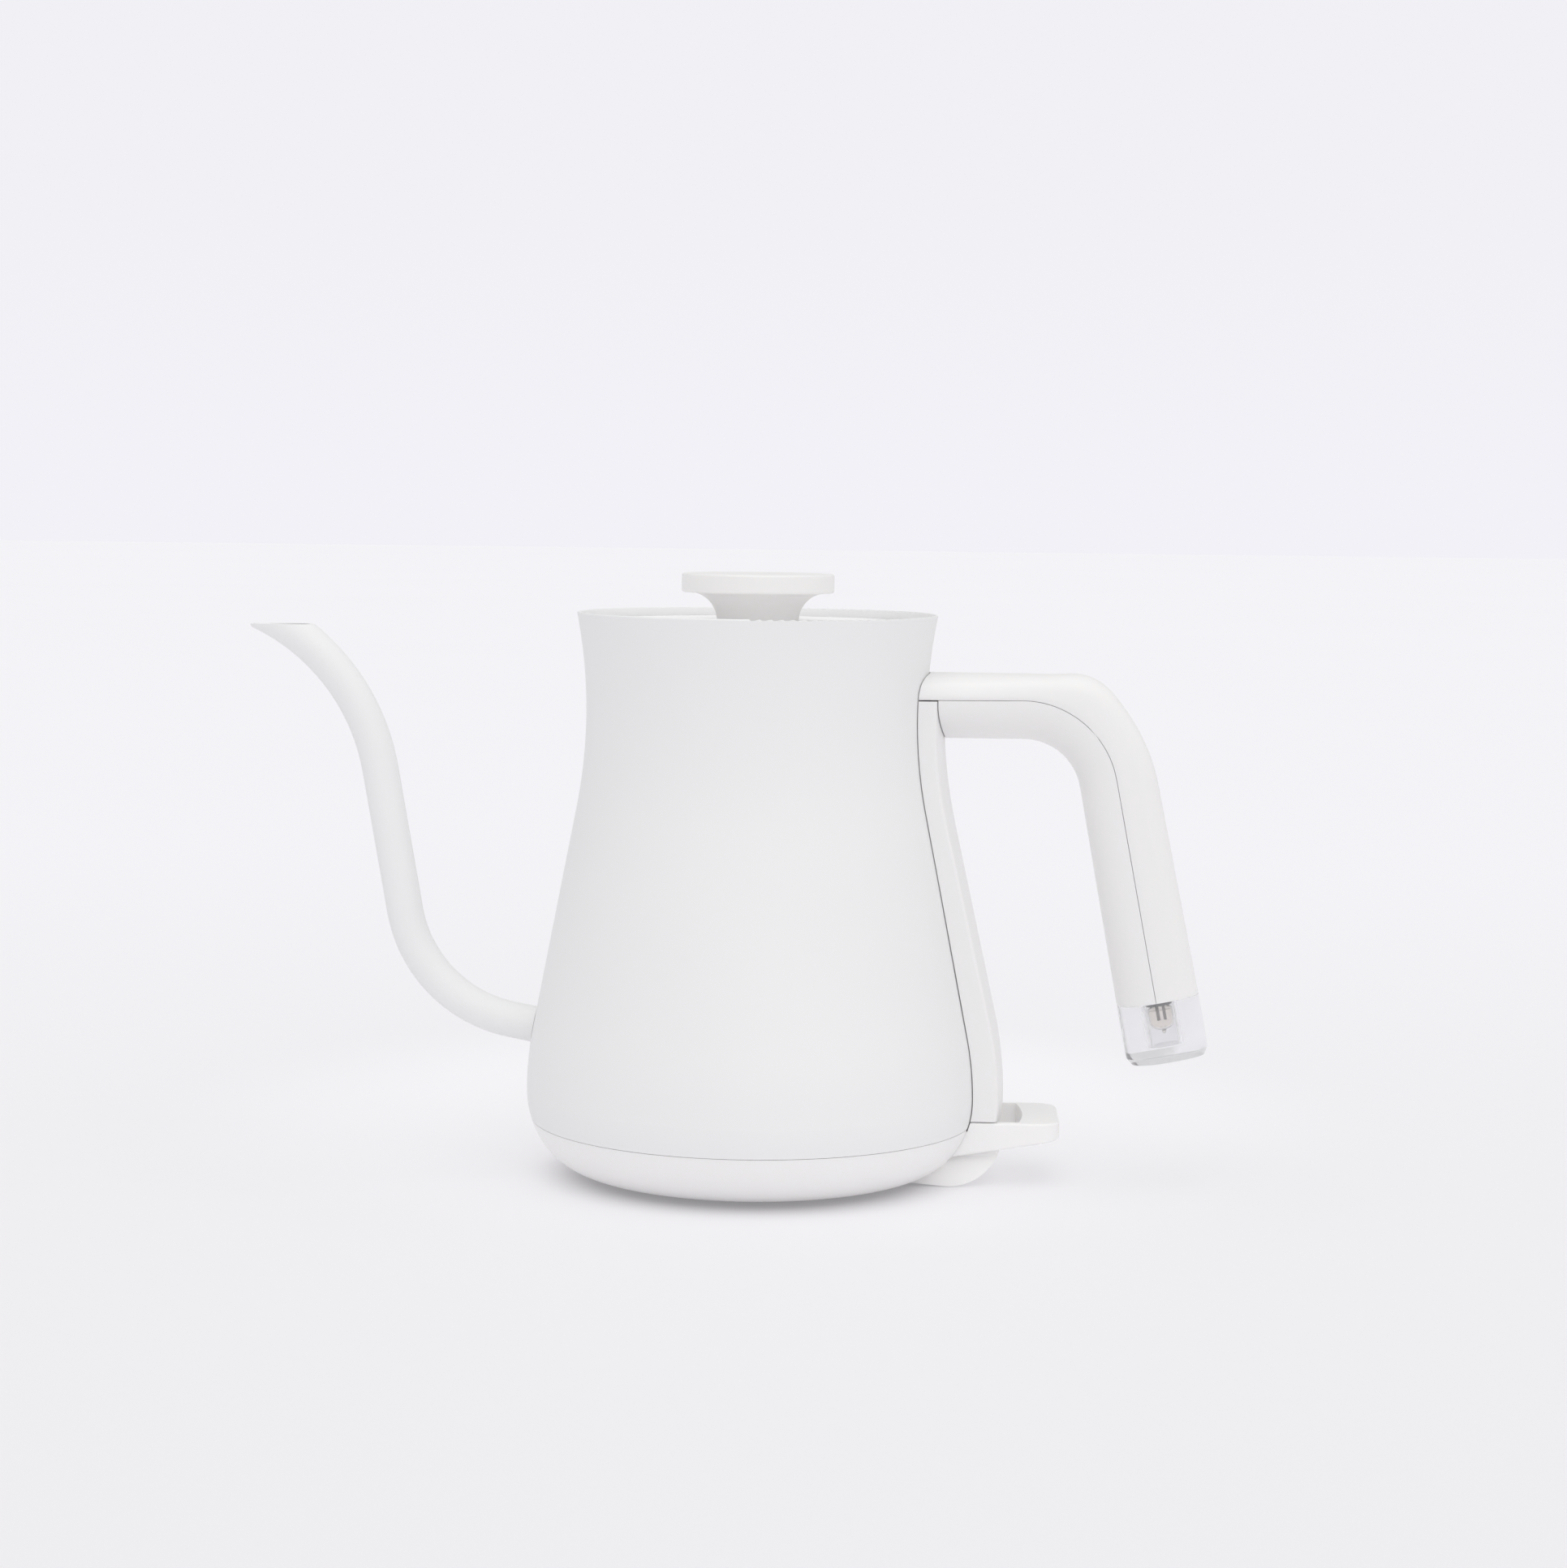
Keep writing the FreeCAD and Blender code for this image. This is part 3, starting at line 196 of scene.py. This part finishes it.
# Powder coat on steel: matt, with a faint orange-peel grain about a millimetre wide
pot_coat = coated_pot()
coat = grained("powder_coated_steel", *COAT, COAT_ROUGHNESS, PEEL_MM, PEEL_DEPTH_MM)
# Lid: the same coat painted whiter, as painted light against the shade in its recess
lid_coat_painted_light = grained("powder_coated_steel_lid_painted_light", *LID_COAT_PAINTED_LIGHT, COAT_ROUGHNESS, PEEL_MM, PEEL_DEPTH_MM)
# Moulded ABS: satin, with a spark-eroded grain that is drawn half a millimetre wide so that it shows,
# and light seeps into thin walls with a warm cast
seeping = {"Subsurface_Weight": 0.1, "Subsurface_Scale": 2.5 * MM, "Subsurface_Radius": (1.0, 0.85, 0.6)}
abs_white = grained("satin_moulded_abs", "#F3F2F1", "#F1F0EF", 0.38, 0.5, 0.01, **seeping)
# The foot's mouldings are the handle's ABS painted a shade whiter, as painted light against the shade that
# falls on the low foot, lever and bottom cover
abs_foot_painted_light = grained("satin_moulded_abs_foot_painted_light", "#F8F7F6", "#F6F5F4", 0.38, 0.5, 0.01, **seeping)
# Clear moulded tip: bends the view of the lamp only a little, as a thin cap does, with a trace of milky haze
clear_tip = grained("clear_polycarbonate", "#FDFDFE", "#FBFBFD", 0.06, 2.0, 0.003, 8,
                    Transmission_Weight=0.84, IOR=1.3)
# Drawn lamp glass: thin, smooth, with a breath of copper from the electrodes' sputter
lamp_glass = grained("drawn_lamp_glass", "#FEFBF6", "#FDF8F1", 0.05, 3.0, 0.003, 4,
                     Transmission_Weight=1.0, IOR=1.5)
# Nickel wire that has run hot: dull dark grey with a brown cast
hot_nickel = marked_metal("dulled_nickel_wire", stroke_marks, "#7D726B", "#5F5651", 0.45, 0.2)
# Stainless steel turned with an abrasive pad: soft rings round the axis, drawn coarser so that they show
ring_steel = marked_metal("ring_brushed_stainless", ring_marks, *BARE_STEEL, 0.32, STEEL_RING_MM)
# Stainless steel brushed along: soft strokes, drawn coarser so that they show
brushed_steel = marked_metal("brushed_stainless", stroke_marks, "#C2C0BC", "#A7A5A1", 0.3, 0.3)
# Cast aluminium: pale, dull, slightly pitted
cast_aluminium = grained("cast_aluminium", "#C9C9C8", "#B9B9B8", 0.48, 0.8, 0.03, 6, Metallic=1.0)
# Moulded silicone: milky, matt, slightly see-through at its edges
silicone = grained("milky_silicone", "#DEDCD6", "#D6D4CD", 0.62, 0.4, 0.01, 12, Subsurface_Weight=0.2,
                   Subsurface_Scale=1.5 * MM, Subsurface_Radius=(1.0, 0.9, 0.8))
# Stamped brass: warm, with fine rolling strokes
brass = marked_metal("rolled_brass", stroke_marks, "#C9A462", "#B08A4B", 0.3, 0.25)
# Glass-filled nylon: near black, dry, with a coarse moulded grain
nylon = grained("dark_filled_nylon", "#34322F", "#2A2927", 0.55, 0.6, 0.02, 10)
# Soft PVC sleeve: off-white, waxy
sleeve = grained("soft_pvc_sleeve", "#D8D5CD", "#CFCCC4", 0.42, 0.5, 0.01, 10)

BY_SLOT = {"coated_steel": coat, "white_plastic": abs_white, "clear_tip": clear_tip, "lamp_glass": lamp_glass,
           "stainless_steel": brushed_steel, "aluminium": cast_aluminium, "silicone": silicone,
           "brass": brass, "dark_plastic": nylon, "lead_cover": sleeve}
BY_NODE = {"body_shell": pot_coat, "lid_cover": lid_coat_painted_light, "heater_plate": ring_steel,
           "lid_inner_plate": ring_steel, "lamp_electrodes": hot_nickel, "base_housing": abs_foot_painted_light,
           "bottom_cover": abs_foot_painted_light, "switch_lever": abs_foot_painted_light}

for piece in frame["record"]["subparts"]:
    node = frame["nodes"][piece["node"]]
    node.data.materials.clear()
    node.data.materials.append(BY_NODE.get(piece["node"], BY_SLOT[piece["material_slot"]]))


# Making of new pieces

AROUND = 64            # points round a turned piece


def mesh_of(shape, name, crease):
    """Mesh of a closed shape: faces outwards, smooth, with the edges sharper than the crease angle kept."""
    bmesh.ops.recalc_face_normals(shape, faces=shape.faces)
    mesh = bpy.data.meshes.new(name)
    shape.to_mesh(mesh)
    shape.free()
    mesh.shade_smooth()
    mesh.set_sharp_from_angle(angle=math.radians(crease))
    return mesh


def sized_tree(name, sizes):
    """A Geometry Nodes tree with an input for each named size: it, its inputs, and the sizes by input key."""
    tree = bpy.data.node_groups.new(name, "GeometryNodeTree")
    face = tree.interface
    face.new_socket("Geometry", in_out="INPUT", socket_type="NodeSocketGeometry")
    face.new_socket("Geometry", in_out="OUTPUT", socket_type="NodeSocketGeometry")
    keys = {}
    for label, size in sizes.items():
        kind = "NodeSocketInt" if isinstance(size, int) else "NodeSocketFloat"
        keys[face.new_socket(label, in_out="INPUT", socket_type=kind).identifier] = size
    return tree, add(tree, "NodeGroupInput").outputs, keys


def finished(tree, geometry, finish):
    """Ends a tree: what it made becomes one real mesh with its finish."""
    real = add(tree, "GeometryNodeRealizeInstances", {"Geometry": geometry})
    faced = add(tree, "GeometryNodeSetMaterial", {"Geometry": real.outputs["Geometry"], "Material": finish})
    add(tree, "NodeGroupOutput", {"Geometry": faced.outputs["Geometry"]})


def realised(mesh, tree, keys):
    """The plain mesh that a tree makes of another mesh at its sizes."""
    carrier = bpy.data.objects.new("carrier", mesh)
    bpy.context.scene.collection.objects.link(carrier)
    grow = carrier.modifiers.new("grow", "NODES")
    grow.node_group = tree
    for key, size in keys.items():
        grow[key] = size
    ready = carrier.evaluated_get(bpy.context.evaluated_depsgraph_get())
    made = bpy.data.meshes.new_from_object(ready)
    carrier.modifiers.remove(grow)
    bpy.data.objects.remove(carrier)
    return made


def kettle_piece(name, mesh):
    """A new piece that moves with the kettle's body."""
    piece = bpy.data.objects.new(name, mesh)
    bpy.context.scene.collection.objects.link(piece)
    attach(piece, "kettle")
    return piece


# Screws of the bottom cover

def screw_mesh(head_r, shank_r, head, length, cross, groove, depth):
    """Countersunk screw with its head down at the origin and a cross recess with sloping walls."""
    rings = 18
    slope = 0.25 * MM
    point_r = shank_r * 0.3

    def recess(r, turn):
        """How far the head's face is sunk in: the cross is deepest in the middle."""
        x = abs(r * math.cos(turn))
        y = abs(r * math.sin(turn))
        along = max(x, y)
        edge = min(cross - along, groove - min(x, y))
        return depth * min(max(edge / slope, 0.0), 1.0) * (1 - 0.5 * along / cross)

    shape = bmesh.new()
    turns = [2 * math.pi * k / AROUND for k in range(AROUND)]
    rows = []
    for i in range(1, rings + 1):
        r = head_r * i / rings
        rows.append([shape.verts.new((r * math.cos(t), r * math.sin(t), recess(r, t))) for t in turns])
    for r, z in ((shank_r, head), (shank_r, length - shank_r), (point_r, length)):
        rows.append([shape.verts.new((r * math.cos(t), r * math.sin(t), z)) for t in turns])
    middle = shape.verts.new((0, 0, depth))
    tip = shape.verts.new((0, 0, length))
    for k in range(AROUND):
        n = (k + 1) % AROUND
        shape.faces.new((middle, rows[0][n], rows[0][k]))
        shape.faces.new((tip, rows[-1][k], rows[-1][n]))
        for a, b in zip(rows, rows[1:]):
            shape.faces.new((a[k], a[n], b[n], b[k]))
    return mesh_of(shape, "base_screw", 30)


def cross_screws():
    """Three countersunk cross-head screws in place of the part's plain ones: one, turned on a circle."""
    sizes = {"Count": 3, "Ring Radius": 29.0 * MM, "Lift": 1.3 * MM, "First Angle": math.radians(60)}
    tree, given, keys = sized_tree("screws_on_a_circle", sizes)
    circle = add(tree, "GeometryNodeMeshCircle", {"Vertices": given["Count"], "Radius": given["Ring Radius"]})
    start = add(tree, "ShaderNodeCombineXYZ", {"Z": given["First Angle"]})
    raised = add(tree, "ShaderNodeCombineXYZ", {"Z": given["Lift"]})
    placed = add(tree, "GeometryNodeTransform", {"Geometry": circle.outputs["Mesh"],
                                                 "Translation": raised.outputs["Vector"],
                                                 "Rotation": start.outputs["Vector"]})
    spot = add(tree, "GeometryNodeInputPosition")
    parts = add(tree, "ShaderNodeSeparateXYZ", {"Vector": spot.outputs["Position"]})
    angle = add(tree, "ShaderNodeMath", {0: parts.outputs["Y"], 1: parts.outputs["X"]}, operation="ARCTAN2")
    turn = add(tree, "ShaderNodeCombineXYZ", {"Z": angle.outputs["Value"]})
    screws = add(tree, "GeometryNodeInstanceOnPoints", {"Points": placed.outputs["Geometry"],
                                                        "Instance": given["Geometry"],
                                                        "Rotation": turn.outputs["Vector"]})
    finished(tree, screws.outputs["Instances"], brushed_steel)
    screw = screw_mesh(head_r=2.6 * MM, shank_r=1.4 * MM, head=1.2 * MM, length=8.7 * MM,
                       cross=1.45 * MM, groove=0.42 * MM, depth=0.9 * MM)
    ring = kettle_piece("cross_recess_screws", realised(screw, tree, keys))
    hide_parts("base_screws")


cross_screws()


# Spring of the switch

def plunger_coil():
    """Coil between the plunger's collar and its guide, made at one length: the real one shortens as the
    plunger rises.
    """
    axis_x = 42.0 * MM
    low = 11.65 * MM
    top = 14.95 * MM
    wire_r = 0.2 * MM
    sizes = {"Wire Radius": wire_r, "Mean Radius": 2.75 * MM, "Turns": 3.0, "Height": top - low - 2 * wire_r}
    tree, given, keys = sized_tree("coil_of_wire", sizes)
    run = add(tree, "GeometryNodeCurveSpiral", {"Resolution": 64, "Rotations": given["Turns"],
                                                "Start Radius": given["Mean Radius"],
                                                "End Radius": given["Mean Radius"],
                                                "Height": given["Height"]})
    wire = add(tree, "GeometryNodeCurvePrimitiveCircle", {"Resolution": 16, "Radius": given["Wire Radius"]})
    tube = add(tree, "GeometryNodeCurveToMesh", {"Curve": run.outputs["Curve"],
                                                 "Profile Curve": wire.outputs["Curve"], "Fill Caps": True})
    finished(tree, tube.outputs["Mesh"], brushed_steel)
    mesh = realised(bpy.data.meshes.new("coil"), tree, keys)
    mesh.transform(Matrix.Translation((axis_x, 0, low + wire_r)))
    mesh.shade_smooth()
    mesh.set_sharp_from_angle(angle=math.radians(50))
    coil = kettle_piece("plunger_coil", mesh)
    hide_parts("plunger_spring")
    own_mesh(coil)


plunger_coil()


# Lamp in the clear tip

HANDLE_END = Vector((114.2112, 0.0, 51.7767)) * MM
HANDLE_AXIS = Vector((0.192522, 0.0, -0.981293))


def spun(name, outline, finish):
    """Closed solid round the handle's axis, from an outline of radius and way past the handle's end in mm."""
    shape = bmesh.new()
    beside = Vector((0, 1, 0))
    outward = beside.cross(HANDLE_AXIS)
    turns = [2 * math.pi * k / AROUND for k in range(AROUND)]
    spokes = [beside * math.cos(t) + outward * math.sin(t) for t in turns]
    rings = []
    for r, way in outline:
        middle = HANDLE_END + HANDLE_AXIS * (way * MM)
        rings.append([shape.verts.new(middle + spoke * (r * MM)) for spoke in spokes])
    for a, b in zip(rings, rings[1:] + rings[:1]):
        for k in range(AROUND):
            n = (k + 1) % AROUND
            shape.faces.new((a[k], a[n], b[n], b[k]))
    bmesh.ops.remove_doubles(shape, verts=shape.verts, dist=0.001 * MM)
    mesh = mesh_of(shape, name, 40)
    mesh.materials.append(finish)
    return kettle_piece(name, mesh)


def lamp():
    """Blown envelope with a narrow neck and a drawn-off tip, and the dark collar round its neck, in mm."""
    foot = -1.2
    flare_start = 1.6
    flare_steps = 8
    dome_start = 6.2
    dome_turns = [math.pi * k / 24 for k in range(1, 11)]

    def skin(neck, belly, tall, later):
        """Side line of the glass: neck, flare of 1 mm and dome. The flare of the inside starts later."""
        shares = [k / flare_steps for k in range(flare_steps + 1)]
        flare = [(neck + (belly - neck) * (1 - math.cos(math.pi * share)) / 2, flare_start + later + share)
                 for share in shares]
        dome = [(belly * math.cos(t), dome_start + tall * math.sin(t)) for t in dome_turns]
        return [(neck, foot)] + flare + dome

    drawn_off = [(0.85, 8.95), (0.75, 9.5), (0.45, 9.85), (0.0, 9.95)]
    outer = skin(2.95, 4.2, 2.6, 0.0) + drawn_off
    inner = skin(2.45, 3.7, 2.1, 0.3) + [(0.0, 8.3)]
    envelope = spun("lamp_envelope", outer + inner[::-1], lamp_glass)
    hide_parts("neon_lamp")
    collar = [(3.05, 0.1), (4.35, 0.1), (4.35, 1.3), (4.15, 1.5), (3.05, 1.5)]
    spun("lamp_collar", collar, nylon)


lamp()


# Floor, light and camera

def floor():
    """Seamless pale floor with a painted glow: it glows a little, more so behind the base, which thins the
    shadows as painted light; the glow is cut under the base, which paints a dark contact shadow there, and its
    tone is painted darker towards the front.
    """
    reach = 12.0
    cloud_mm = 700
    made, tree, place = material("pale_floor_painted_glow")
    depth = add(tree, "ShaderNodeSeparateXYZ", {"Vector": place})
    # Painted shade: the floor's tone is darker towards the front and lighter far back, for how the light falls
    # across it
    painted_falloff = add(tree, "ShaderNodeMapRange", {"Value": depth.outputs["Y"], "From Min": -0.35, "From Max": 0.9},
               interpolation_type="SMOOTHSTEP")
    tone = add(tree, "ShaderNodeMix", {"Factor": painted_falloff.outputs["Result"],
                                       "A": clouded(tree, place, "#CDCCCE", "#CBCACC", cloud_mm),
                                       "B": clouded(tree, place, "#D4D3D6", "#D2D1D4", cloud_mm)},
               data_type="RGBA")
    radius = add(tree, "ShaderNodeVectorMath", {0: place}, operation="LENGTH")
    # Painted shadow: within 46 to 64 mm of the axis the glow falls to under half, which darkens the floor
    # under the base
    clear = add(tree, "ShaderNodeMapRange", {"Value": radius.outputs["Value"], "From Min": 46 * MM,
                                             "From Max": 64 * MM, "To Min": 0.45, "To Max": 1.0},
                interpolation_type="SMOOTHSTEP")
    # Painted light: the glow is stronger round a point 90 mm behind the axis, where the kettle's shadow falls,
    # and eases off from 200 mm out
    behind = add(tree, "ShaderNodeVectorMath", {0: place, 1: (0, 90 * MM, 0)}, operation="DISTANCE")
    painted_glow = add(tree, "ShaderNodeMapRange", {"Value": behind.outputs["Value"], "From Min": 90 * MM,
                                            "From Max": 200 * MM, "To Min": 0.345, "To Max": 0.28},
               interpolation_type="SMOOTHSTEP")
    strength = add(tree, "ShaderNodeMath", {0: clear.outputs["Result"], 1: painted_glow.outputs["Result"]},
                   operation="MULTIPLY")
    closed(made, tree, Base_Color=tone.outputs["Result"], Roughness=0.8, Specular_IOR_Level=0.1,
           Emission_Color=linear("#F8F7FA"), Emission_Strength=strength.outputs["Value"])
    mesh = bpy.data.meshes.new("floor")
    corners = [(-reach, -reach, 0), (reach, -reach, 0), (reach, reach, 0), (-reach, reach, 0)]
    mesh.from_pydata(corners, [], [(0, 1, 2, 3)])
    mesh.materials.append(made)
    sheet = bpy.data.objects.new("floor", mesh)
    bpy.context.scene.collection.objects.link(sheet)


def soft_sun(name, way, energy, spread):
    """A sun that shines from a way towards the kettle, as wide as the spread in degrees."""
    sun = bpy.data.lights.new(name, "SUN")
    sun.energy = energy
    sun.angle = math.radians(spread)
    light = bpy.data.objects.new(name, sun)
    light.location = way
    light.rotation_mode = "QUATERNION"
    light.rotation_quaternion = (-Vector(way)).to_track_quat("-Z", "Y")
    bpy.context.scene.collection.objects.link(light)


def studio_light():
    """Pale surroundings, a wide soft light from above and the front, and a weaker low one by the handle."""
    world = bpy.data.worlds.new("studio")
    world.use_nodes = True
    tree = world.node_tree
    tree.nodes.clear()
    look = add(tree, "ShaderNodeTexCoord")
    way = add(tree, "ShaderNodeSeparateXYZ", {"Vector": look.outputs["Generated"]})
    rise = add(tree, "ShaderNodeMapRange", {"Value": way.outputs["Z"], "From Min": 0.0, "From Max": 0.1},
               interpolation_type="SMOOTHSTEP")
    wall = add(tree, "ShaderNodeMix", {"Factor": rise.outputs["Result"], "A": linear("#F2F1F7"),
                                       "B": linear("#F1F0F5")}, data_type="RGBA")
    seen = add(tree, "ShaderNodeBackground", {"Color": wall.outputs["Result"]})
    fill = add(tree, "ShaderNodeBackground", {"Color": linear("#FCFCFD"), "Strength": 0.71})
    sight = add(tree, "ShaderNodeLightPath")
    mixed = add(tree, "ShaderNodeMixShader", {0: sight.outputs["Is Camera Ray"],
                                              1: fill.outputs["Background"],
                                              2: seen.outputs["Background"]})
    add(tree, "ShaderNodeOutputWorld", {"Surface": mixed.outputs["Shader"]})
    bpy.context.scene.world = world
    soft_sun("soft_above", (0.12, -0.36, 0.93), energy=0.95, spread=80)
    soft_sun("soft_front", (0.5, -1.4, 0.32), energy=0.13, spread=40)


def photo_camera():
    """Camera at the photograph's place: 0.89 m away, a little above the lid, turned a little to the handle."""
    distance = 0.89219
    height = 0.18995
    pitch, pan, roll, yaw = [math.radians(a) for a in (5.067, 0.498, 0.661, 2.75)]
    focal_px = 3914.72
    frame_px = 1932
    ahead = Vector((math.sin(pan) * math.cos(pitch), math.cos(pan) * math.cos(pitch), -math.sin(pitch)))
    level = Vector((math.cos(pan), -math.sin(pan), 0))
    upward = level.cross(ahead)
    right = level * math.cos(roll) + upward * math.sin(roll)
    top = upward * math.cos(roll) - level * math.sin(roll)
    turn = Matrix.Rotation(yaw, 3, "Z")
    place = turn @ Vector((0, -distance, height))
    axes = [turn @ axis for axis in (right, top, -ahead)]
    rows = [[axes[0][i], axes[1][i], axes[2][i], place[i]] for i in range(3)]
    lens = bpy.data.cameras.new("photo_camera")
    lens.sensor_width = 36.0
    lens.lens = focal_px * lens.sensor_width / frame_px
    lens.clip_start = 0.01
    lens.clip_end = 100.0
    camera = bpy.data.objects.new("photo_camera", lens)
    camera.matrix_world = Matrix(rows + [[0, 0, 0, 1]])
    bpy.context.scene.collection.objects.link(camera)
    bpy.context.scene.camera = camera


floor()
studio_light()
photo_camera()
bpy.context.scene.view_settings.view_transform = "Standard"
